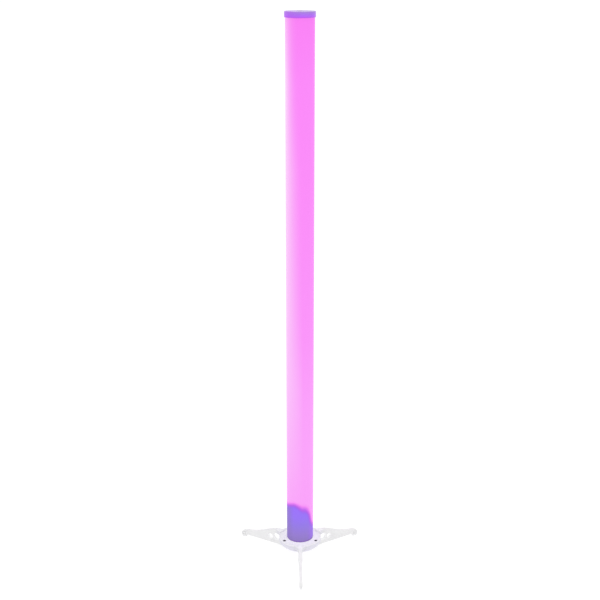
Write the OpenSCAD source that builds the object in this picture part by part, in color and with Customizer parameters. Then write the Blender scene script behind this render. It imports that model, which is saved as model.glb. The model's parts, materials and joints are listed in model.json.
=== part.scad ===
// LED light tube standing on a three-leg foot.
// Millimetres. Z is up and is the tube's axis, the floor is z = 0, and the front leg points along -Y.

/* [Tube] */
// Height of the whole light above the floor
overall_h = 1015.4; // [1000:0.1:1030]
// Outer diameter of the frosted tube
tube_d = 50; // [50:0.1:50.4]
// Wall thickness of the frosted tube
tube_wall = 2; // [2:0.05:2.1]
// Outer diameter of the top cap
cap_d = 53.2; // [52.6:0.1:55]
// Height of the top cap that shows
cap_h = 10.2; // [9.8:0.1:11]
// Height of the lower end cap's rim that shows below the frosted tube
rim_h = 2.6; // [2:0.1:3]
// Thread hole diameter in the top insert
insert_hole_d = 5.2; // [5:0.1:5.6]

/* [Light engine] */
// Side of the square aluminium spine
spine_w = 12; // [11.6:0.1:12]
// Width of each LED strip
strip_w = 10; // [8:0.5:10]
// Distance between two LEDs on a strip
chip_pitch = 33.3; // [33:0.1:40]
// Side of each LED
chip_w = 5; // [3:0.1:5]

/* [Foot] */
// Distance from the axis to the leg tips
leg_reach = 132; // [130:0.5:135]
// Height of the ridge along the top of each leg's root
ridge_z = 36.7; // [36.5:0.1:38]
// Leg thickness where it meets the hub
root_t = 8; // [7.6:0.1:8.6]
// Leg thickness at the tip
tip_t = 4.2; // [4:0.1:4.6]
// Height of each leg's lower edge above the floor
under_z = 5.5; // [5:0.1:6]
// Height of each foot pad
pad_h = 2.8; // [2.4:0.1:3]
// Radius of the hub disc
hub_r = 40; // [40:0.1:41]
// Height of the hub's top face
hub_top = 35; // [34.8:0.1:35.2]
// Diameter of the larger hole through each leg
big_hole_d = 14.4; // [12:0.1:14.6]
// Diameter of the smaller hole through each leg
small_hole_d = 9.8; // [8:0.1:10]
// Radius of the circle on which the three hub screws lie
screw_circle_r = 34.5; // [34.2:0.1:34.8]

/* [Controls] */
// Diameter of each push button
button_d = 6.5; // [5.5:0.1:6.5]
// Distance that a button travels
button_travel = 0.8; // [0.4:0.1:0.9]

/* [Hidden] */
$fn = 96;

// Directions in which the three legs point, and the strips' faces
front_a = -90;
right_a = 30;
left_a = 150;
screw_angles = [-30, 90, 210];

// Foot heights and fits
hub_floor_t = 3;
hub_bottom = 20;
hub_edge_z = 26;
cover_t = 4;
cover_z = hub_top - cover_t;
hub_wall = 3;
fit = 0.1;
tongue_t = 6;
bulb_r = 4.6;
bulb_u = 27;
fillet_r = 14;
web_z = 28;
big_hole_u = 50.4;
big_hole_z = 20.3;
small_hole_u = 64.6;
small_hole_z = 18.1;
boss_u = leg_reach - 5.5;
boss_z = 7.4;
tip_boss_r = 4;
tip_boss_t = 5.4;
tip_dimple_r = 2.6;
tip_dimple_h = 0.5;
pad_length = 10.4;
pad_stub_r = 1.1;
screw_r = 1.5;
screw_head_r = 3;
screw_seat_z = cover_z + 1.6;
curve_steps = 16;

// Twist lock between the foot and the tube
spigot_r = 17;
spigot_top = 48;
lug_r = 20;
lug_z = 41;
lug_h = 4;
lug_half_a = 14;
lug_angles = [front_a, right_a, left_a];
twist_a = 40;
twist_gap = 0.3;
twist_gap_a = 1.2;

// Tube heights
tube_r = tube_d / 2;
bore_r = tube_r - tube_wall;
rim_z = hub_top + 0.4;
tube_z = rim_z + rim_h;
tube_top = overall_h - 3.4;
cap_z = overall_h - cap_h;
cap_r = cap_d / 2;
plug_z = 54;
plug_floor_t = 3;

// Battery housing and what it holds
housing_r = 22.4;
housing_wall = 1.5;
housing_z = plug_z + 0.2;
housing_top = 106;
flat_x = 19.5;
cell_r = 9;
cell_y = -6.5;
cell_left_x = -9.6;
cell_right_x = 8.7;
boss_r = 2.3;
boss_x = -0.45;
boss_ys = [-13.8, 7.5];
board_y = 13;
board_t = 1.6;
board_back = board_y + board_t;
button_zs = [88, 79, 70];
usb_z = 62;
lens_z = 95.2;
lens_x = 4;
lens_r = 1.45;
window_w = 18;
window_z = 58;
window_h = 40;
panel_r = tube_r + 0.9;
button_back = 18.6;
press_slack = 0.2;

// Light engine heights
spine_z = 109;
spine_top = overall_h - 17.4;
spine_wall = 1.2;
strip_t = 0.8;
strip_z = spine_z + 10;
strip_top = spine_top - 10;
chip_t = 1.3;
chip_first_z = strip_z + 18;
chip_count = floor((strip_top - 12 - chip_first_z) / chip_pitch) + 1;
holder_w = 17;
disc_t = 2.4;

// Points along a cubic curve from p[0] to p[3]
function curve(p, n = curve_steps) = [
    for (i = [0 : n])
        let (t = i / n, s = 1 - t)
            s * s * s * p[0] + 3 * s * s * t * p[1] + 3 * s * t * t * p[2] + t * t * t * p[3]
];

// Turns a leg's own frame (u outward along X, thickness along Y) to its direction
module aim(a) {
    rotate([0, 0, a]) children();
}

// Slot-shaped outline centred on the origin, w long and h high
module slot_2d(w, h) {
    square([w - h, h], center = true);
    for (s = [-1, 1])
        translate([s * (w - h) / 2, 0]) circle(d = h);
}

// Hollow cylinder between two heights
module ring(outer, inner, z0, z1) {
    difference() {
        translate([0, 0, z0]) cylinder(r = outer, h = z1 - z0);
        translate([0, 0, z0 - 1]) cylinder(r = inner, h = z1 - z0 + 2);
    }
}

// Part of a ring that spans a0 to a1 degrees
module ring_sector(outer, inner, z0, z1, a0, a1) {
    rotate([0, 0, a0])
        rotate_extrude(angle = a1 - a0)
            translate([inner, z0]) square([outer - inner, z1 - z0]);
}

// ---------- Foot ----------

// The key on each leg's root, and with a gap, the seat that holds it
module root_key(gap) {
    z0 = hub_bottom + hub_floor_t + fit - gap;
    h = cover_z - fit - z0 + gap;
    translate([bulb_u, 0, z0]) cylinder(r = bulb_r + gap, h = h);
    translate([bulb_u, -tongue_t / 2 - gap, z0]) cube([hub_r + 2 - bulb_u, tongue_t + 2 * gap, h]);
}

// Outside of the hub's lower half, filled
module hub_envelope() {
    slope = hub_edge_z - hub_bottom;
    rotate_extrude()
        polygon([
            [0, hub_bottom], [hub_r - slope, hub_bottom], [hub_r, hub_edge_z], [hub_r, cover_z], [0, cover_z]
        ]);
}

// Hollow of the hub's lower half, open at the top
module hub_cavity() {
    floor_z = hub_bottom + hub_floor_t;
    inner_r = hub_r - hub_wall;
    rotate_extrude()
        polygon([
            [0, floor_z], [inner_r - 5, floor_z], [inner_r, floor_z + 5], [inner_r, cover_z + 1],
            [0, cover_z + 1]
        ]);
}

module foot_base() {
    seat_w = 16;
    color("whitesmoke")
        difference() {
            intersection() {
                hub_envelope();
                union() {
                    difference() {
                        hub_envelope();
                        hub_cavity();
                    }
                    for (a = lug_angles)
                        aim(a) translate([20, -seat_w / 2, hub_bottom + 1]) cube([18, seat_w, cover_z]);
                    for (a = screw_angles)
                        aim(a) translate([screw_circle_r, 0, hub_bottom + 1]) cylinder(r = 4.2, h = cover_z);
                }
            }
            for (a = lug_angles)
                aim(a) root_key(fit);
            for (a = screw_angles)
                aim(a) translate([screw_circle_r, 0, hub_edge_z - 1])
                    cylinder(r = screw_r + 0.02, h = cover_z);
        }
}

module cover_plate() {
    edge = 1;
    rotate_extrude()
        polygon(concat(
            [[0, cover_z], [hub_r, cover_z]],
            [for (a = [0 : 15 : 90]) [hub_r - edge + edge * cos(a), hub_top - edge + edge * sin(a)]],
            [[0, hub_top]]
        ));
}

module foot_cover() {
    spigot_wall = 3;
    color("whitesmoke")
        difference() {
            union() {
                cover_plate();
                translate([0, 0, cover_z]) cylinder(r = spigot_r, h = spigot_top - cover_z - 1);
                translate([0, 0, spigot_top - 1]) cylinder(r1 = spigot_r, r2 = spigot_r - 1, h = 1);
                for (a = lug_angles)
                    ring_sector(lug_r, spigot_r - 2, lug_z, lug_z + lug_h, a - lug_half_a, a + lug_half_a);
            }
            translate([0, 0, cover_z - 1])
                cylinder(r = spigot_r - spigot_wall, h = spigot_top - cover_z - 1.5);
            for (a = lug_angles)
                aim(a) translate([hub_r, 0, cover_z - 1]) cylinder(r = root_t / 2 + fit, h = cover_t + 2);
            for (a = screw_angles)
                aim(a) translate([screw_circle_r, 0, cover_z - 1]) {
                    cylinder(r = screw_r + 0.2, h = cover_t + 2);
                    translate([0, 0, screw_seat_z - cover_z + 1])
                        cylinder(r = screw_head_r + 0.3, h = cover_t);
                }
        }
}

// One cross-head screw with the underside of its head on z = 0
module cross_screw(head_r, head_h, shank_r, shank_h) {
    difference() {
        union() {
            cylinder(r = head_r, h = head_h * 0.6);
            translate([0, 0, head_h * 0.6]) cylinder(r1 = head_r, r2 = head_r * 0.8, h = head_h * 0.4);
            translate([0, 0, -shank_h]) cylinder(r = shank_r, h = shank_h + 0.1);
        }
        for (a = [0, 90])
            rotate([0, 0, a]) translate([-head_r * 0.55, -head_r * 0.12, head_h * 0.4])
                cube([head_r * 1.1, head_r * 0.24, head_h]);
    }
}

module foot_screws() {
    color("dimgray")
        for (a = screw_angles)
            aim(a) translate([screw_circle_r, 0, screw_seat_z])
                cross_screw(screw_head_r, 1.8, screw_r, screw_seat_z - hub_edge_z + 0.5);
}

// Side outline of a leg, outward along X and up along Y
module leg_side_2d() {
    under_r = hub_r - (hub_edge_z - hub_bottom);
    heel_u = boss_u - pad_length / 2;
    polygon(concat(
        [[30, under_z], [heel_u - 4, under_z], [heel_u, pad_h], [leg_reach - 1.2, pad_h]],
        curve([
            [leg_reach, pad_h + 2.4], [leg_reach + 0.1, 10.5],
            [leg_reach - 4.5, 13.9], [leg_reach - 11.5, 15.5]
        ]),
        curve([
            [leg_reach - 11.6, 15.52], [leg_reach - 46.5, 18.7], [leg_reach - 66.5, ridge_z],
            [leg_reach - 87.5, ridge_z]
        ]),
        [
            [hub_r + fit, ridge_z], [hub_r + fit, hub_edge_z], [under_r + fit, hub_bottom - fit],
            [29, hub_bottom - fit]
        ]
    ));
}

// Outline of a leg from above: thick root, thin tip
module leg_plan_2d() {
    flank = curve([
        [hub_r + 3, root_t / 2], [hub_r + 9, root_t / 2 - 1.3],
        [hub_r + 25, tip_t / 2 + 0.8], [leg_reach, tip_t / 2]
    ]);
    polygon(concat(
        [[28, -root_t / 2]], [for (p = flank) [p[0], -p[1]]],
        [for (i = [curve_steps : -1 : 0]) flank[i]], [[28, root_t / 2]]
    ));
}

// Concave web that widens a leg's root where it meets the hub's wall
module root_web() {
    centre_v = root_t / 2 + fillet_r;
    centre_u = sqrt(pow(hub_r + fillet_r, 2) - pow(centre_v, 2));
    wall_u = centre_u * hub_r / (hub_r + fillet_r);
    wall_v = centre_v * hub_r / (hub_r + fillet_r);
    translate([0, 0, web_z])
        linear_extrude(height = hub_top - web_z)
            difference() {
                polygon([
                    [wall_u, -wall_v], [centre_u, -centre_v], [centre_u, centre_v], [wall_u, wall_v]
                ]);
                for (s = [-1, 1])
                    translate([centre_u, s * centre_v]) circle(r = fillet_r);
                circle(r = hub_r + fit);
            }
}

module leg() {
    color("gainsboro")
        difference() {
            union() {
                intersection() {
                    rotate([90, 0, 0]) linear_extrude(height = 2 * root_t, center = true) leg_side_2d();
                    linear_extrude(height = 2 * ridge_z) leg_plan_2d();
                }
                translate([hub_r, 0, cover_z + fit / 2])
                    cylinder(r = root_t / 2, h = ridge_z - cover_z - fit / 2);
                root_web();
                root_key(0);
                translate([boss_u, 0, boss_z])
                    rotate([90, 0, 0]) cylinder(r = tip_boss_r, h = tip_boss_t, center = true);
            }
            for (s = [-1, 1])
                translate([boss_u, s * tip_boss_t / 2, boss_z])
                    rotate([90, 0, 0]) cylinder(r = tip_dimple_r, h = 2 * tip_dimple_h, center = true);
            translate([big_hole_u, 0, big_hole_z])
                rotate([90, 0, 0]) cylinder(d = big_hole_d, h = 60, center = true);
            translate([small_hole_u, 0, small_hole_z])
                rotate([90, 0, 0]) cylinder(d = small_hole_d, h = 60, center = true);
            translate([boss_u, 0, 0]) cylinder(r = pad_stub_r + 0.02, h = pad_h + 3.6);
        }
}

module pad() {
    color("lightgray")
        translate([boss_u, 0, 0]) {
            linear_extrude(height = pad_h - 0.05) slot_2d(pad_length, tip_t + 0.8);
            translate([0, 0, pad_h - 1]) cylinder(r = pad_stub_r, h = 4);
        }
}

module leg_front() { aim(front_a) leg(); }
module leg_right() { aim(right_a) leg(); }
module leg_left() { aim(left_a) leg(); }
module pad_front() { aim(front_a) pad(); }
module pad_right() { aim(right_a) pad(); }
module pad_left() { aim(left_a) pad(); }

// ---------- Tube shell ----------

module bottom_cap() {
    socket_r = spigot_r + twist_gap;
    groove_r = lug_r + 0.4;
    groove_z = lug_z - twist_gap;
    groove_top = lug_z + lug_h + twist_gap;
    reach_a = lug_half_a + twist_gap_a;
    color("mediumpurple")
        difference() {
            union() {
                translate([0, 0, rim_z]) cylinder(r = tube_r, h = rim_h);
                translate([0, 0, tube_z - 0.5]) cylinder(r = bore_r - fit, h = plug_z - tube_z + 0.5);
            }
            translate([0, 0, rim_z - 1]) cylinder(r = socket_r, h = plug_z - plug_floor_t - rim_z + 1);
            for (a = lug_angles) {
                ring_sector(groove_r, socket_r - 1, groove_z, groove_top, a - twist_a - reach_a, a + reach_a);
                ring_sector(groove_r, socket_r - 1, rim_z - 1, groove_top, a - twist_a - reach_a,
                    a - twist_a + reach_a);
            }
            for (y = boss_ys)
                translate([boss_x, y, 0]) {
                    cylinder(r = 1.3, h = plug_z + 1);
                    cylinder(r = 2.4, h = plug_z - 1.4);
                }
        }
}

module diffuser_tube() {
    color([0.97, 0.56, 0.95])
        difference() {
            ring(tube_r, bore_r, tube_z, tube_top);
            translate([-window_w / 2, 0, window_z]) cube([window_w, tube_r + 1, window_h]);
        }
}

module top_cap() {
    edge = 1.4;
    sleeve_r = tube_r + 0.08;
    plug_r = bore_r - fit;
    boss_bottom = cap_z - 1.2;
    insert_z = overall_h - 10.2;
    color([0.66, 0.45, 0.9])
        difference() {
            rotate_extrude()
                polygon(concat(
                    [[0, boss_bottom], [8, boss_bottom], [8, tube_top + 0.4], [plug_r - 2.9, tube_top + 0.4],
                     [plug_r - 2.9, cap_z - 3.6], [plug_r - 0.6, cap_z - 3.6], [plug_r, cap_z - 3],
                     [plug_r, cap_z - 1.6], [plug_r - 1.65, cap_z - 1.6], [plug_r - 1.65, cap_z + 0.2],
                     [plug_r, cap_z + 0.2], [plug_r, tube_top + 0.4], [sleeve_r, tube_top + 0.4],
                     [sleeve_r, cap_z], [cap_r - 0.5, cap_z], [cap_r, cap_z + 0.5]],
                    [for (a = [0 : 15 : 90])
                        [cap_r - edge + edge * cos(a), overall_h - edge + edge * sin(a)]],
                    [[0, overall_h]]
                ));
            translate([0, 0, insert_z - 0.2]) cylinder(r = 4.52, h = 20);
        }
}

module top_seal() {
    seal_r = 0.8;
    color("dimgray")
        rotate_extrude() translate([bore_r - 0.06 - seal_r, cap_z - 0.7]) circle(r = seal_r, $fn = 32);
}

module thread_insert() {
    color("goldenrod")
        ring(4.5, insert_hole_d / 2, overall_h - 10.2, overall_h - 0.2);
}

// ---------- Battery, board and controls ----------

module housing_body(r, flat, z0, z1) {
    intersection() {
        translate([0, 0, z0]) cylinder(r = r, h = z1 - z0);
        translate([-r - 1, -r - 1, z0]) cube([r + 1 + flat, 2 * r + 2, z1 - z0]);
    }
}

module battery_housing() {
    inner_top = housing_top - housing_wall;
    color("mediumpurple")
        difference() {
            union() {
                difference() {
                    housing_body(housing_r, flat_x, housing_z, housing_top);
                    housing_body(housing_r - housing_wall, flat_x - housing_wall, housing_z - 1, inner_top);
                }
                for (y = boss_ys)
                    translate([boss_x, y, housing_z]) cylinder(r = boss_r, h = housing_top - housing_z - 0.5);
            }
            translate([-window_w / 2 - 0.4, board_back + 2, window_z - 0.4])
                cube([window_w + 0.8, tube_r, window_h + 0.8]);
            for (y = boss_ys)
                translate([boss_x, y, housing_z - 1]) cylinder(r = 1.12, h = 9);
            translate([4.5, 11, inner_top - 1]) linear_extrude(height = 5) slot_2d(11, 3.2);
        }
}

module housing_screws() {
    color("silver")
        for (y = boss_ys)
            translate([boss_x, y, plug_z - 1.4])
                rotate([180, 0, 0]) cross_screw(2.2, 1.4, 1.1, 7.5);
}

module battery_cell(x) {
    color("seagreen")
        translate([x, cell_y, housing_z + 0.3]) {
            cylinder(r = cell_r, h = 48.8);
            cylinder(r = 2.8, h = 49.5);
        }
}

module battery_cell_left() { battery_cell(cell_left_x); }
module battery_cell_right() { battery_cell(cell_right_x); }

module control_board() {
    color("darkgreen")
        translate([-14, board_y, housing_z + 1.8]) cube([28, board_t, 44]);
}

// Inductor, charging chip, driver chip and two capacitors on the board's inner face
module board_parts() {
    color("darkslategray") {
        translate([3, board_y - 4, 62]) cube([8, 4, 8]);
        translate([-11, board_y - 1.3, 66]) cube([7, 1.3, 7]);
        translate([-10, board_y - 1.1, 82]) cube([6, 1.1, 9]);
        for (z = [80, 90])
            translate([9, board_y, z]) rotate([90, 0, 0]) cylinder(r = 3, h = 6);
    }
}

module tact_switches() {
    plunger_h = button_back - board_back - button_travel - press_slack;
    color("black")
        for (z = button_zs) {
            translate([-3, board_back, z - 3]) cube([6, 2.3, 6]);
            translate([0, board_back, z]) rotate([-90, 0, 0]) cylinder(r = 1.7, h = plunger_h);
        }
}

module usb_inlet() {
    color("silver")
        translate([0, board_back, usb_z]) rotate([-90, 0, 0]) {
            difference() {
                linear_extrude(height = 10.8) slot_2d(9, 3.2);
                translate([0, 0, 3.8]) linear_extrude(height = 8) slot_2d(8.4, 2.6);
            }
            translate([-3.35, -0.35, 3.7]) cube([6.7, 0.7, 6]);
        }
}

module panel_block(r0, r1, w, z0, z1) {
    intersection() {
        ring(r1, r0, z0, z1);
        translate([-w / 2, 0, z0 - 1]) cube([w, 2 * r1, z1 - z0 + 2]);
    }
}

module control_panel() {
    gap = 0.2;
    lip = 1.5;
    color([0.86, 0.84, 0.9])
        difference() {
            union() {
                panel_block(21.6, panel_r, window_w - 2 * gap, window_z + gap, window_z + window_h - gap);
                panel_block(
                    tube_r + 0.05, panel_r, window_w + 2 * lip, window_z - lip, window_z + window_h + lip
                );
            }
            for (z = button_zs)
                translate([0, 0, z]) rotate([-90, 0, 0]) cylinder(d = button_d + 0.6, h = 40);
            for (x = [-lens_x, lens_x])
                translate([x, 0, lens_z]) rotate([-90, 0, 0]) cylinder(r = lens_r + 0.05, h = 40);
            translate([0, 0, usb_z]) rotate([-90, 0, 0]) linear_extrude(height = 40) slot_2d(9.4, 3.6);
        }
}

module lens(x) {
    translate([x, 20.6, lens_z]) rotate([-90, 0, 0]) cylinder(r = lens_r, h = 4.9);
}

module status_lens() {
    color("palegreen") lens(-lens_x);
}

module ir_window() {
    color("black") lens(lens_x);
}

// Round button with a flange behind the panel and a slightly crowned face
module button(z) {
    r = button_d / 2;
    face = tube_r + 1.8 - button_back;
    color([0.93, 0.92, 0.96])
        translate([0, button_back, z]) rotate([-90, 0, 0])
            rotate_extrude()
                polygon([
                    [0, 0], [r + 1, 0], [r + 1, 1.4], [r, 1.4], [r, face - 0.5], [r - 0.5, face],
                    [0, face + 0.15]
                ]);
}

module power_button() { button(button_zs[0]); }
module mode_button() { button(button_zs[1]); }
module bright_button() { button(button_zs[2]); }

// ---------- Light engine ----------

module square_tube(outer, inner, z0, z1) {
    translate([0, 0, z0])
        linear_extrude(height = z1 - z0)
            difference() {
                square(outer, center = true);
                square(inner, center = true);
            }
}

module led_spine() {
    color("silver")
        square_tube(spine_w, spine_w - 2 * spine_wall, spine_z, spine_top);
}

// Disc that centres one end of the spine, with a square collar around it on the inner side
module spine_holder(disc_z, collar_z0, collar_z1) {
    color("white")
        difference() {
            union() {
                translate([0, 0, disc_z]) cylinder(r = bore_r - fit, h = disc_t);
                square_tube(holder_w, spine_w + 0.2, collar_z0, collar_z1);
            }
            for (a = [45, 135, 225, 315])
                rotate([0, 0, a]) translate([16.5, 0, disc_z - 1]) cylinder(r = 3.4, h = disc_t + 2);
            translate([4.5, 11, disc_z - 1]) linear_extrude(height = disc_t + 2) slot_2d(11, 3.2);
        }
}

module spine_holder_lower() {
    spine_holder(spine_z - disc_t, spine_z - 0.5, spine_z + 8);
}

module spine_holder_upper() {
    spine_holder(spine_top, spine_top - 8, spine_top + 0.5);
}

// Clear spider that keeps the spine in the middle of the tube
module spacer(z) {
    color([0.9, 0.9, 0.95, 0.5])
        translate([0, 0, z]) {
            ring(bore_r - fit, bore_r - 1.6, -1, 1);
            square_tube(spine_w + 2 * strip_t + 3.4, spine_w + 2 * strip_t + 0.4, -1, 1);
            for (a = [45, 135, 225, 315])
                rotate([0, 0, a]) translate([11.4, -1.2, -1]) cube([bore_r - 12.4, 2.4, 2]);
        }
}

module spacer_lower() { spacer(chip_first_z + 6.5 * chip_pitch); }
module spacer_middle() { spacer(chip_first_z + 12.5 * chip_pitch); }
module spacer_upper() { spacer(chip_first_z + 18.5 * chip_pitch); }

module strip(a) {
    color("ivory")
        aim(a) translate([spine_w / 2, -strip_w / 2, strip_z]) cube([strip_t, strip_w, strip_top - strip_z]);
}

module chips(a) {
    color("lightyellow")
        aim(a)
            for (i = [0 : chip_count - 1])
                translate([spine_w / 2 + strip_t, -chip_w / 2, chip_first_z + i * chip_pitch - chip_w / 2])
                    cube([chip_t, chip_w, chip_w]);
}

module strip_front() { strip(-90); }
module strip_right() { strip(0); }
module strip_back() { strip(90); }
module strip_left() { strip(180); }
module chips_front() { chips(-90); }
module chips_right() { chips(0); }
module chips_back() { chips(90); }
module chips_left() { chips(180); }

// Straight wire between two points
module wire(from, to, r) {
    d = to - from;
    translate(from)
        rotate([0, acos(d[2] / norm(d)), atan2(d[1], d[0])])
            cylinder(r = r, h = norm(d));
}

// Three leads from the board's top edge to the pads at the rear strip's lower end
module led_leads() {
    lead_r = 0.7;
    color("firebrick")
        for (i = [0 : 2])
            wire(
                [2.5 + 2.2 * i, board_y - lead_r - 0.1, housing_z + 43],
                [-1 + 2.2 * i, spine_w / 2 + strip_t + lead_r + 0.1, strip_z + 11],
                lead_r
            );
}

foot_base();
foot_cover();
foot_screws();
leg_front();
leg_right();
leg_left();
pad_front();
pad_right();
pad_left();
bottom_cap();
diffuser_tube();
top_cap();
top_seal();
thread_insert();
battery_housing();
housing_screws();
battery_cell_left();
battery_cell_right();
control_board();
board_parts();
tact_switches();
usb_inlet();
control_panel();
status_lens();
ir_window();
power_button();
mode_button();
bright_button();
led_spine();
spine_holder_lower();
spine_holder_upper();
spacer_lower();
spacer_middle();
spacer_upper();
strip_front();
strip_right();
strip_back();
strip_left();
chips_front();
chips_right();
chips_back();
chips_left();
led_leads();
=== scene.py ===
"""Looks of the LED light tube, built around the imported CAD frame. Metres, Z up, front leg towards -Y."""

import json
import math

import bmesh
import bpy
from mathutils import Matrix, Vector


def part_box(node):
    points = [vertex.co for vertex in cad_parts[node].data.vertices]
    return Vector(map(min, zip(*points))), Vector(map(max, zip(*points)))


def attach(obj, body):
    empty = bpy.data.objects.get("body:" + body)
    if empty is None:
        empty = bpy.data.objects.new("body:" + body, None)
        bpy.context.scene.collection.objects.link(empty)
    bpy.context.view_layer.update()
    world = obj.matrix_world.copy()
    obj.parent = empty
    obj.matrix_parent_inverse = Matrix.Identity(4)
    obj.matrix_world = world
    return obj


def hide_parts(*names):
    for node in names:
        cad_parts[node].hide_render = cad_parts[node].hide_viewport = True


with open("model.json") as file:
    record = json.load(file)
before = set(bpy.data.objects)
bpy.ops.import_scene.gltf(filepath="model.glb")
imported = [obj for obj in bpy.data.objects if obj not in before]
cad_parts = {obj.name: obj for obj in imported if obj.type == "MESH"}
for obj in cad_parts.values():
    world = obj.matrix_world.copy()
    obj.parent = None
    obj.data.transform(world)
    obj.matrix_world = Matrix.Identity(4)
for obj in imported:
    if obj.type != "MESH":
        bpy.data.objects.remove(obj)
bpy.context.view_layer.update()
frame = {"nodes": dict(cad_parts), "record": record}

MM = 0.001
WHITE = (1.0, 1.0, 1.0)
BLACK = (0.0, 0.0, 0.0)


# ---------- Places ----------
# A pair of places is where a shading begins, and where it is full.

tube_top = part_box("diffuser_tube")[1]
TUBE_R = tube_top.x

# The top cap, from the lower edge of the skirt that hangs over the tube
CAP_SKIRT = 6.8 * MM
CAP_LOW_Z = tube_top.z - CAP_SKIRT
CAP_HIGH_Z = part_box("top_cap")[1].z
# Both end caps share one look, which changes from the lower cap's to the upper cap's between these
CAPS_APART_Z = (0.1, 0.2)

# The hub: where its wall, painted darker and lilac as shade, turns into its top, and how far out the
# tube's light is painted on it
HUB_EDGE_Z = (33.0 * MM, 34.8 * MM)
HUB_PAINTED_GLOW_R = (45.0 * MM, 25.0 * MM)

# A leg: its root, the ridge over the hub's rim, which carries a painted glow, and the web below the ridge,
# which carries painted shade
LEG_ROOT_R = (56.0 * MM, 44.0 * MM)
LEG_RIDGE_Z = (34.0 * MM, 35.4 * MM)
LEG_WEB_Z = (25.0 * MM, 28.0 * MM)
# The two holes through each leg: distance from the axis, height and radius. The light in them ends
# a little outside their walls
LEG_HOLES = ((50.4 * MM, 20.3 * MM, 7.2 * MM), (64.6 * MM, 18.1 * MM, 4.9 * MM))
HOLE_LIGHT_RIM = 0.6 * MM
# The boss at each leg's tip, and the ring of painted shade around its dimple, from inside and from outside
TIP_REACH = 126.5 * MM
TIP_Z = 7.4 * MM
TIP_SHADE_RING_INNER = (2.4 * MM, 2.8 * MM)
TIP_SHADE_RING_OUTER = (5.2 * MM, 4.0 * MM)

# The battery housing's shade on the tube's wall. Its upper edge is this high at the sides, rises to
# the front and the back, and dips between two places across the tube, in tube radii. The edge is
# soft, more so at the dip, and wanders a little up and down
SHADE_SIDE_Z = 103.6 * MM
SHADE_RISE = 12.7 * MM
SHADE_DIP = 8.6 * MM
SHADE_DIP_X = (-0.52, 0.25)
SHADE_SOFT = (10.5 * MM, -13.5 * MM)
SHADE_SOFT_AT_DIP = 1.45
SHADE_WANDER = 0.6 * MM

# The wedge of light that the housing's flat side lets past: its middle in degrees from +X, half its
# width at the top in degrees, how that tapers downwards, and the heights it spans and fades over
LEAK_DIRECTION = 5.0
LEAK_HALF_WIDTH = 47.5
LEAK_TAPER = 0.47
LEAK_SOFT = (30.0, -17.0)
LEAK_LOW_Z = 50.0 * MM
LEAK_HIGH_Z = 100.0 * MM
LEAK_FADE_Z = (47.0 * MM, 78.0 * MM)

# The light through the wall, and the paler part of it on the left: where that ends on the right and
# how far it reaches, in tube radii, and how much paler it gets
TUBE_EMISSION = 0.42
PALE_END_X = 0.2
PALE_REACH = 1.12
PALE_MOST = 0.62


# ---------- Building materials from nodes ----------

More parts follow.
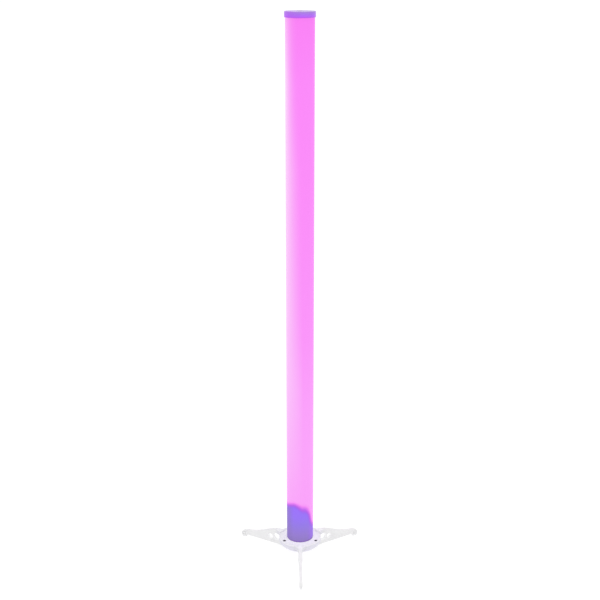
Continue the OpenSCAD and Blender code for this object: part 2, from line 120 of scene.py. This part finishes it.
class Look:
    """One node material: a Principled shader, and short ways to make the nodes that feed it."""

    def __init__(self, name):
        self.material = bpy.data.materials.new(name)
        self.material.use_nodes = True
        self.tree = self.material.node_tree
        self.tree.nodes.clear()
        output = self.tree.nodes.new("ShaderNodeOutputMaterial")
        self.shader = self.tree.nodes.new("ShaderNodeBsdfPrincipled")
        self.tree.links.new(self.shader.outputs["BSDF"], output.inputs["Surface"])
        self.place = self.tree.nodes.new("ShaderNodeTexCoord").outputs["Object"]

    def feed(self, socket, value):
        """Links a socket to another, or sets it to a number or a colour."""
        if isinstance(value, bpy.types.NodeSocket):
            self.tree.links.new(value, socket)
        elif isinstance(value, tuple):
            socket.default_value = (*value, 1.0)
        else:
            socket.default_value = value

    def set(self, **inputs):
        """Sets the shader's inputs: base_color=... feeds Base Color."""
        for name, value in inputs.items():
            title = name.replace("_", " ").title().replace("Ior", "IOR")
            self.feed(self.shader.inputs[title], value)

    def axes(self):
        """The place's x, y and z."""
        split = self.tree.nodes.new("ShaderNodeSeparateXYZ")
        self.feed(split.inputs[0], self.place)
        return tuple(split.outputs)

    def math(self, operation, a, b=0.0, clamp=False):
        """One step of arithmetic on sockets or numbers."""
        node = self.tree.nodes.new("ShaderNodeMath")
        node.operation = operation
        node.use_clamp = clamp
        self.feed(node.inputs[0], a)
        self.feed(node.inputs[1], b)
        return node.outputs[0]

    def minus(self, a, b):
        """The first value less the second."""
        return self.math("SUBTRACT", a, b)

    def product(self, first, *others):
        """All the values multiplied together."""
        for value in others:
            first = self.math("MULTIPLY", first, value)
        return first

    def length(self, a, b):
        """Length of a flat vector whose two parts are a and b."""
        return self.math("SQRT", self.math("ADD", self.product(a, a), self.product(b, b)))

    def remap(self, value, low, high, to_low=0.0, to_high=1.0, smooth=True):
        """Turns low to high into to_low to to_high, and goes no further at either end."""
        node = self.tree.nodes.new("ShaderNodeMapRange")
        node.interpolation_type = "SMOOTHSTEP" if smooth else "LINEAR"
        for socket, number in zip(node.inputs, (value, low, high, to_low, to_high)):
            self.feed(socket, number)
        return node.outputs[0]

    def band(self, value, low, high):
        """1 where a value is between two limits, softened over a twentieth of a millimetre."""
        soft = 0.05 * MM
        return self.product(self.remap(value, low - soft, low), self.remap(value, high + soft, high))

    def mix(self, factor, a, b):
        """Colour a where the factor is 0, and colour b where it is 1."""
        node = self.tree.nodes.new("ShaderNodeMix")
        node.data_type = "RGBA"
        for socket, value in ((node.inputs[0], factor), (node.inputs[6], a), (node.inputs[7], b)):
            self.feed(socket, value)
        return node.outputs[2]

    def ramp(self, value, stops):
        """Runs through (value, colour) stops in the value's own units. A colour may be one grey level."""
        low, high = stops[0][0], stops[-1][0]
        node = self.tree.nodes.new("ShaderNodeValToRGB")
        self.feed(node.inputs[0], self.remap(value, low, high, smooth=False))
        elements = node.color_ramp.elements
        for i, (at, colour) in enumerate(stops):
            element = elements[i] if i < 2 else elements.new(1.0)
            element.position = (at - low) / (high - low)
            element.color = (*colour, 1.0) if isinstance(colour, tuple) else (colour,) * 3 + (1.0,)
        return node.outputs[0]

    def noise(self, size, detail=3.0, stretch=(1, 1, 1)):
        """Noise from 0 to 1 whose features are about size metres across."""
        place = self.place
        if stretch != (1, 1, 1):
            mapping = self.tree.nodes.new("ShaderNodeMapping")
            self.feed(mapping.inputs["Vector"], place)
            mapping.inputs["Scale"].default_value = stretch
            place = mapping.outputs[0]
        node = self.tree.nodes.new("ShaderNodeTexNoise")
        self.feed(node.inputs["Vector"], place)
        node.inputs["Scale"].default_value = 1.0 / size
        node.inputs["Detail"].default_value = detail
        return node.outputs["Fac"]

    def flow(self):
        """Faint mottling that moulded plastic gets as it flows, from 0 to 1."""
        return self.remap(self.noise(22 * MM, 4.0), 0.3, 0.7)

    def uneven(self, noise, low, high):
        """A roughness that wanders between low and high as the noise does."""
        return self.remap(noise, 0.2, 0.8, low, high)

    def bump(self, height, depth, strength=0.5):
        """Raises the surface by up to depth metres where height is 1."""
        node = self.tree.nodes.new("ShaderNodeBump")
        node.inputs["Strength"].default_value = strength
        node.inputs["Distance"].default_value = depth
        self.feed(node.inputs["Height"], height)
        self.feed(self.shader.inputs["Normal"], node.outputs[0])

    def satin(self, low, high, grain=0.5 * MM):
        """A mould's satin finish: slightly uneven gloss and fine grain."""
        self.set(roughness=self.uneven(self.noise(3 * MM), low, high))
        self.bump(self.noise(grain, 2.0), 0.02 * MM)


def toned(colour, factor, lift=0.0):
    """A colour made darker or brighter, and never past white."""
    return tuple(min(1.0, c * factor + lift) for c in colour)


# ---------- Plastics of the foot and the inner parts ----------

def moulded_plastic(name, colour, rough, grain=0.5 * MM):
    """Injection-moulded plastic: faint flow mottling, fine grain and slightly uneven gloss."""
    look = Look(name)
    look.set(base_color=look.mix(look.flow(), toned(colour, 0.94), colour))
    look.satin(rough - 0.05, rough + 0.07, grain)
    return look.material


def hub_plastic(name):
    """Pale satin plastic of the hub, with a wall painted darker and lilac as shade, and a painted lilac
    glow of the tube's light beside the tube.
    """
    look = Look(name)
    x, y, z = look.axes()
    flow = look.flow()
    # Painted shade: the wall is darker and lilac, and the top lighter, as light from above falls
    painted_shade_wall = look.mix(flow, (0.65, 0.64, 0.72), (0.69, 0.68, 0.76))
    top = look.mix(flow, (0.75, 0.75, 0.755), (0.78, 0.78, 0.785))
    look.set(base_color=look.mix(look.remap(z, *HUB_EDGE_Z), painted_shade_wall, top))
    # Painted light: the tube's lilac glow on the hub, strongest beside the tube
    painted_glow = look.remap(look.length(x, y), *HUB_PAINTED_GLOW_R, 0.0, 0.2)
    look.set(emission_color=(0.88, 0.78, 0.95), emission_strength=painted_glow, specular_ior_level=0.35)
    look.satin(0.45, 0.58)
    return look.material


def leg_plastic(name):
    """Pale satin plastic of the legs: painted shade on the webs beside the hub, and a painted glow on the
    ridge that the tube lights.
    """
    look = Look(name)
    x, y, z = look.axes()
    reach = look.length(x, y)
    root = look.remap(reach, *LEG_ROOT_R)
    ridge = look.remap(z, *LEG_RIDGE_Z)
    # Painted shade: the web below the ridge, beside the hub, is darker and lilac
    web_shade = look.product(root, look.minus(look.remap(z, *LEG_WEB_Z), ridge))
    # Painted light: a faint white glow on the ridge beside the tube
    glow = look.product(root, ridge, 0.11)
    # The pale floor throws light into the holes
    for hole_reach, hole_z, hole_r in LEG_HOLES:
        away = look.length(look.minus(reach, hole_reach), look.minus(z, hole_z))
        glow = look.math("ADD", glow, look.remap(away, hole_r + HOLE_LIGHT_RIM, hole_r, 0.0, 0.16))
    # Painted shade: the boss at the tip is darker in a ring around its dimple
    boss = look.length(look.minus(reach, TIP_REACH), look.minus(z, TIP_Z))
    ring = look.product(look.remap(boss, *TIP_SHADE_RING_INNER), look.remap(boss, *TIP_SHADE_RING_OUTER))

    colour = look.mix(look.flow(), (0.74, 0.74, 0.745), (0.78, 0.78, 0.785))
    colour = look.mix(ring, colour, (0.70, 0.70, 0.705))
    colour = look.mix(web_shade, colour, (0.67, 0.665, 0.72))
    look.set(base_color=colour, emission_color=WHITE, emission_strength=glow)
    look.satin(0.45, 0.57)
    return look.material


def clear_plastic(name, colour, rough, emission=None):
    """Glossy clear or tinted plastic with a faint haze. With an emission colour, it is lit."""
    look = Look(name)
    haze = look.noise(1.5 * MM, 2.0)
    look.set(base_color=look.mix(haze, colour, toned(colour, 1.15)), coat_weight=0.5)
    look.set(roughness=look.uneven(haze, rough, rough + 0.06))
    look.bump(haze, 0.005 * MM, 0.3)
    if emission:
        look.set(emission_color=emission, emission_strength=0.8)
    return look.material


# ---------- Buttons ----------

def height_over(look, z, node):
    """How high a place is above the middle of a node."""
    low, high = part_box(node)
    return look.minus(z, 0.5 * low.z + 0.5 * high.z)


def power_sign(look, x, across, up):
    """A ring that is open at its top, with a bar in the opening."""
    opening = look.product(look.band(across, 0.0, 0.5 * MM), look.band(up, 0.0, 3.0 * MM))
    ring = look.product(look.band(look.length(x, up), 1.2 * MM, 1.55 * MM), look.minus(1.0, opening))
    bar = look.product(look.band(across, 0.0, 0.16 * MM), look.band(up, 0.4 * MM, 1.8 * MM))
    return look.math("MAXIMUM", ring, bar)


def diamond(look, across, up):
    """The outline of a square that stands on a corner."""
    return look.band(look.math("ADD", across, look.math("ABSOLUTE", up)), 1.35 * MM, 1.8 * MM)


def sun(look, x, up):
    """A disc with eight rays around it."""
    reach = look.length(x, up)
    wave = look.math("COSINE", look.product(look.math("ARCTAN2", up, x), 8.0))
    rays = look.product(look.band(reach, 1.15 * MM, 1.7 * MM), look.remap(wave, 0.45, 0.6))
    return look.math("MAXIMUM", look.band(reach, 0.0, 0.75 * MM), rays)


def button_plastic(name, colour):
    """Satin plastic of the push buttons, each with a plain printed mark."""
    look = Look(name)
    x, _, z = look.axes()
    across = look.math("ABSOLUTE", x)
    mark = power_sign(look, x, across, height_over(look, z, "power_button"))
    mark = look.math("MAXIMUM", mark, diamond(look, across, height_over(look, z, "mode_button")))
    mark = look.math("MAXIMUM", mark, sun(look, x, height_over(look, z, "bright_button")))
    plain = look.mix(look.flow(), toned(colour, 0.94), colour)
    look.set(base_color=look.mix(mark, plain, (0.16, 0.15, 0.2)))
    look.satin(0.45, 0.57, 0.4 * MM)
    return look.material


# ---------- Metal, rubber and circuit boards ----------

def metal(name, colour, rough, stretch=(1, 1, 1)):
    """Metal with fine brushing and small patches of duller finish."""
    look = Look(name)
    brushed = look.noise(0.6 * MM, 3.0, stretch)
    look.set(base_color=look.mix(brushed, toned(colour, 0.82), colour), metallic=1.0)
    look.set(roughness=look.uneven(look.noise(4 * MM), rough - 0.06, rough + 0.08))
    look.bump(brushed, 0.01 * MM, 0.3)
    return look.material


def rubber(name, colour):
    """Matt rubber, speckled in colour, gloss and grain."""
    look = Look(name)
    speckle = look.noise(0.7 * MM, 4.0)
    look.set(base_color=look.mix(speckle, toned(colour, 0.88), colour))
    look.set(roughness=look.uneven(speckle, 0.62, 0.8))
    look.bump(speckle, 0.03 * MM)
    return look.material


def circuit_board(name, colour, pitch=2.2 * MM):
    """Solder mask over fine tracks, which wander along the board a pitch apart."""
    look = Look(name)
    x, _, _ = look.axes()
    wander = look.product(look.noise(6 * MM, 1.0), 3 * MM)
    wave = look.math("SINE", look.product(look.math("ADD", x, wander), 2 * math.pi / pitch))
    track = look.remap(wave, 0.55, 0.7)
    look.set(base_color=look.mix(track, colour, toned(colour, 1.9, 0.02)))
    look.set(roughness=look.uneven(look.noise(2 * MM), 0.3, 0.42))
    look.bump(track, 0.03 * MM, 0.4)
    return look.material


# ---------- The lit tube and its caps ----------

def glossy_cap(name):
    """Glossy violet plastic of both end caps: dull at the foot, glowing from the lit tube at the top."""
    look = Look(name)
    x, _, z = look.axes()
    tall = CAP_HIGH_Z - CAP_LOW_Z
    glow = look.ramp(z, [
        (CAP_LOW_Z, (0.44, 0.065, 0.72)), (CAP_LOW_Z + 0.3 * tall, (0.375, 0.10, 0.80)),
        (CAP_LOW_Z + 0.62 * tall, (0.335, 0.135, 0.69)), (CAP_HIGH_Z, (0.31, 0.19, 0.53)),
    ])
    # Redder towards the left, where the glow is strongest
    glow = look.mix(look.remap(x, 5 * MM, -20 * MM, 0.0, 0.35), glow, (0.42, 0.07, 0.76))
    body = look.mix(look.remap(z, *CAPS_APART_Z), (0.24, 0.155, 0.46), glow)
    cloud = look.remap(look.noise(9 * MM, 2.0), 0.3, 0.7, 0.0, 0.25)
    body = look.mix(cloud, body, (0.28, 0.12, 0.55))
    strength = look.remap(z, *CAPS_APART_Z, 0.0, 0.1)
    look.set(base_color=body, emission_color=glow, emission_strength=strength)
    look.set(roughness=look.uneven(look.noise(2 * MM), 0.22, 0.3), specular_ior_level=0.35)
    look.bump(look.noise(1.2 * MM, 2.0), 0.008 * MM, 0.4)
    return look.material


def tube_glow(look, side, z):
    """Pink of the lit wall: deepest near the top, and paler on the left side."""
    glow = look.ramp(z, [
        (0.10, (0.98, 0.365, 0.98)), (0.20, (0.98, 0.375, 0.98)), (0.30, (0.98, 0.36, 0.98)),
        (0.45, (0.98, 0.30, 0.97)), (0.70, (0.98, 0.265, 0.96)), (0.90, (0.98, 0.25, 0.96)),
        (1.00, (0.97, 0.22, 0.93)),
    ])
    # The pale left side is narrow at the top and broad low down. A ramp holds no value above 1, so it
    # gives a quarter of the power
    reach = look.math("DIVIDE", look.minus(PALE_END_X, side), PALE_REACH, clamp=True)
    quarter_power = look.ramp(z, [(0.12, 0.2), (0.35, 0.2), (0.50, 0.36), (0.75, 0.5), (0.92, 1.0)])
    spread = look.math("POWER", reach, look.product(quarter_power, 4.0))
    strength = look.ramp(z, [
        (0.12, 0.1), (0.22, 0.35), (0.35, 0.65), (0.50, 0.85), (0.90, 1.0), (1.0, 0.6),
    ])
    return look.mix(look.product(spread, strength, PALE_MOST), glow, (1.0, 0.85, 1.0))


def housing_shade(look, x, y, z, side):
    """How far the battery housing shades the wall, 0 to 1, with a wedge of light at its flat side."""
    # How far forwards or backwards the wall is, without a crease where it turns sideways
    front = look.length(look.math("DIVIDE", y, TUBE_R), 0.2)
    wander = look.remap(look.noise(25 * MM, 0.0), 0.3, 0.7, -SHADE_WANDER, SHADE_WANDER)
    edge = look.math("ADD", look.product(front, SHADE_RISE), SHADE_SIDE_Z)
    edge = look.minus(edge, look.remap(side, *SHADE_DIP_X, 0.0, SHADE_DIP))
    edge = look.math("ADD", edge, wander)
    # The edge is softer where it dips
    softness = look.remap(side, *SHADE_DIP_X, 1.0, SHADE_SOFT_AT_DIP)
    shade = look.remap(look.math("DIVIDE", look.minus(z, edge), softness), *SHADE_SOFT)
    # The wedge of light narrows downwards
    rise = look.remap(z, LEAK_LOW_Z, LEAK_HIGH_Z, smooth=False)
    half_width = look.product(look.math("POWER", rise, LEAK_TAPER), LEAK_HALF_WIDTH)
    direction = look.product(look.math("ARCTAN2", y, x), math.degrees(1.0))
    off = look.math("ABSOLUTE", look.minus(direction, LEAK_DIRECTION))
    leak = look.product(
        look.remap(look.minus(off, half_width), *LEAK_SOFT), look.remap(z, *LEAK_FADE_Z)
    )
    return look.product(shade, look.minus(1.0, leak))


def lit_tube(name):
    """Frosted tube, lit from inside: pink along its length, violet where the battery housing shades it."""
    look = Look(name)
    x, y, z = look.axes()
    side = look.math("DIVIDE", x, TUBE_R)
    lit = tube_glow(look, side, z)
    shade = housing_shade(look, x, y, z, side)
    violet = look.ramp(z, [
        (38 * MM, (0.30, 0.21, 0.58)), (52 * MM, (0.32, 0.21, 0.68)), (70 * MM, (0.31, 0.20, 0.82)),
        (86 * MM, (0.325, 0.183, 0.95)), (100 * MM, (0.335, 0.173, 0.98)),
    ])
    violet = look.mix(look.remap(side, -0.45, -1.0, 0.0, 0.75), violet, (0.27, 0.18, 0.56))
    violet = look.mix(look.remap(side, 0.45, 0.95, 0.0, 0.7), violet, (0.36, 0.165, 0.92))
    # The light turns magenta, then purple, before the shade is complete
    turn = look.ramp(shade, [
        (0.0, (1.0, 0.36, 0.98)), (0.25, (0.92, 0.24, 0.95)), (0.55, (0.52, 0.13, 0.86)),
        (0.8, (0.36, 0.13, 0.88)), (1.0, (0.30, 0.16, 0.90)),
    ])
    colour = look.mix(look.remap(shade, 0.0, 0.35), lit, turn)
    colour = look.mix(look.remap(shade, 0.6, 1.0), colour, violet)

    # Part of the colour is the wall's own, and part is the light that comes through it
    look.set(base_color=look.mix(0.5, colour, BLACK))
    look.set(emission_color=colour, emission_strength=TUBE_EMISSION)
    frost = look.noise(0.8 * MM, 3.0)
    look.set(roughness=look.uneven(frost, 0.45, 0.55), specular_ior_level=0.15)
    look.bump(frost, 0.01 * MM, 0.25)
    return look.material


# ---------- One look for each material slot ----------

LOOKS = {
    "foot_plastic": leg_plastic("foot_plastic_look"),
    "pad_rubber": rubber("pad_rubber_look", (0.86, 0.86, 0.87)),
    "screw_black": metal("screw_black_look", (0.13, 0.125, 0.13), 0.42),
    "diffuser": lit_tube("diffuser_look"),
    "cap_plastic": glossy_cap("cap_look"),
    "seal_rubber": rubber("seal_look", (0.03, 0.03, 0.03)),
    "brass": metal("brass_look", (0.80, 0.58, 0.25), 0.25, (1, 1, 12)),
    "housing_plastic": moulded_plastic("housing_look", (0.40, 0.30, 0.78), 0.5),
    "small_steel": metal("small_steel_look", (0.60, 0.60, 0.62), 0.3),
    "cell_wrap": clear_plastic("cell_wrap_look", (0.06, 0.35, 0.22), 0.2),
    "board_green": circuit_board("board_look", (0.02, 0.16, 0.06)),
    "component_black": moulded_plastic("component_look", (0.03, 0.03, 0.035), 0.45),
    "inlet_metal": metal("inlet_look", (0.72, 0.72, 0.74), 0.2, (1, 8, 1)),
    "panel_plastic": moulded_plastic("panel_look", (0.66, 0.64, 0.72), 0.35, 0.35 * MM),
    "status_green": clear_plastic("status_look", (0.10, 0.62, 0.20), 0.15, (0.05, 0.8, 0.15)),
    "ir_dark": clear_plastic("ir_look", (0.03, 0.006, 0.012), 0.08),
    "button_plastic": button_plastic("button_look", (0.80, 0.79, 0.84)),
    "spine_aluminium": metal("spine_look", (0.78, 0.78, 0.80), 0.35, (1, 1, 0.05)),
    "holder_plastic": moulded_plastic("holder_look", (0.86, 0.86, 0.86), 0.45),
    "spacer_clear": clear_plastic("spacer_look", (0.88, 0.88, 0.92), 0.1),
    "strip_white": circuit_board("strip_look", (0.80, 0.80, 0.77), 3.0 * MM),
    "chip_lens": clear_plastic("chip_look", (0.90, 0.85, 0.45), 0.2, (1.0, 0.6, 1.0)),
    "lead_red": rubber("lead_look", (0.50, 0.05, 0.04)),
}
# The hub shares the legs' slot, but the tube's light falls on it differently
HUB_LOOK = hub_plastic("hub_plastic_look")
HUB_NODES = ("foot_base", "foot_cover")


# ---------- Pieces ----------

SLOT_OF = {part["node"]: part["material_slot"] for part in frame["record"]["subparts"]}
BODY_OF = {
    node: body for body, nodes in frame["record"]["behaviour"]["bodies"].items() for node in nodes
}

# Corners closer than this are one corner, and faces that turn less than this are one face
WELD = 0.002 * MM
FLAT = math.radians(0.4)
# Edges that turn more than this are rounded
SHARP = math.radians(32.0)


def finish_surface(piece, node):
    """Gives a piece the look of a node, in place of any other."""
    piece.data.materials.clear()
    piece.data.materials.append(HUB_LOOK if node in HUB_NODES else LOOKS[SLOT_OF[node]])


def softened(node, width, segments=3):
    """Replaces a node by a copy whose sharp edges are rounded, as a mould leaves them."""
    mesh = frame["nodes"][node].data.copy()
    shape = bmesh.new()
    shape.from_mesh(mesh)
    bmesh.ops.remove_doubles(shape, verts=shape.verts, dist=WELD)
    bmesh.ops.dissolve_limit(shape, angle_limit=FLAT, verts=shape.verts, edges=shape.edges)
    shape.to_mesh(mesh)
    shape.free()
    mesh.shade_smooth()
    piece = bpy.data.objects.new(node + "_moulded", mesh)
    bpy.context.scene.collection.objects.link(piece)
    bevel = piece.modifiers.new("rounding", "BEVEL")
    bevel.width = width
    bevel.segments = segments
    bevel.limit_method = "ANGLE"
    bevel.angle_limit = SHARP
    bevel.harden_normals = True
    bevel.use_clamp_overlap = True
    finish_surface(piece, node)
    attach(piece, BODY_OF[node])
    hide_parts(node)


for node, cad_piece in frame["nodes"].items():
    finish_surface(cad_piece, node)

for leg in ("leg_front", "leg_right", "leg_left"):
    softened(leg, 0.9 * MM)
for pad in ("pad_front", "pad_right", "pad_left"):
    softened(pad, 0.6 * MM)
softened("foot_base", 0.6 * MM)
softened("foot_cover", 0.35 * MM)
softened("foot_screws", 0.18 * MM, 2)
softened("control_panel", 0.35 * MM)
for button in ("power_button", "mode_button", "bright_button"):
    softened(button, 0.3 * MM)


# ---------- Floor, light and camera ----------

def floor(reach):
    """A pale floor, lit from below like a shooting table, so shadows on it stay faint."""
    mesh = bpy.data.meshes.new("floor")
    corners = [(-reach, -reach, 0), (reach, -reach, 0), (reach, reach, 0), (-reach, reach, 0)]
    mesh.from_pydata(corners, [], [(0, 1, 2, 3)])
    plane = bpy.data.objects.new("floor", mesh)
    bpy.context.scene.collection.objects.link(plane)
    look = Look("floor_look")
    look.set(base_color=look.mix(look.noise(0.4), (0.38, 0.38, 0.38), (0.40, 0.40, 0.40)))
    look.set(emission_color=WHITE, emission_strength=0.66, roughness=0.8, specular_ior_level=0.0)
    mesh.materials.append(look.material)


def sky(brightness):
    """Even white light from all around."""
    world = bpy.data.worlds.new("studio")
    world.use_nodes = True
    background = world.node_tree.nodes["Background"]
    background.inputs["Color"].default_value = (*WHITE, 1.0)
    background.inputs["Strength"].default_value = brightness
    bpy.context.scene.world = world


def softbox(name, place, target, size, power):
    """A rectangular white light, aimed at a target. Its power is in watts."""
    light = bpy.data.lights.new(name, "AREA")
    light.shape = "RECTANGLE"
    light.size, light.size_y = size
    light.energy = power
    holder = bpy.data.objects.new(name, light)
    holder.location = place
    holder.rotation_mode = "QUATERNION"
    holder.rotation_quaternion = (Vector(target) - Vector(place)).to_track_quat("-Z", "Y")
    bpy.context.scene.collection.objects.link(holder)


def camera(away, height, pitch, azimuth, lens):
    """The camera: how far it is from the tube's axis, how high, its angles in degrees, its lens in mm."""
    data = bpy.data.cameras.new("camera")
    data.lens = lens
    data.sensor_width = 36.0
    data.clip_end = 200.0
    holder = bpy.data.objects.new("camera", data)
    turn = math.radians(azimuth)
    holder.location = (away * math.sin(turn), -away * math.cos(turn), height)
    holder.rotation_euler = (math.radians(90.0 - pitch), 0.0, turn)
    bpy.context.scene.collection.objects.link(holder)
    bpy.context.scene.camera = holder


floor(reach=60.0)
sky(brightness=1.0)
softbox("top", (0.0, -0.4, 3.2), target=(0, 0, 0), size=(1.8, 1.8), power=12.0)
softbox("key", (-2.2, -1.6, 2.6), target=(0, 0, 0.4), size=(1.6, 2.2), power=6.0)
softbox("fill", (2.4, -1.8, 1.8), target=(0, 0, 0.4), size=(1.4, 1.8), power=6.0)
camera(away=1.850, height=1.1081, pitch=17.828, azimuth=-0.80, lens=64.935)
bpy.context.scene.view_settings.view_transform = "Standard"
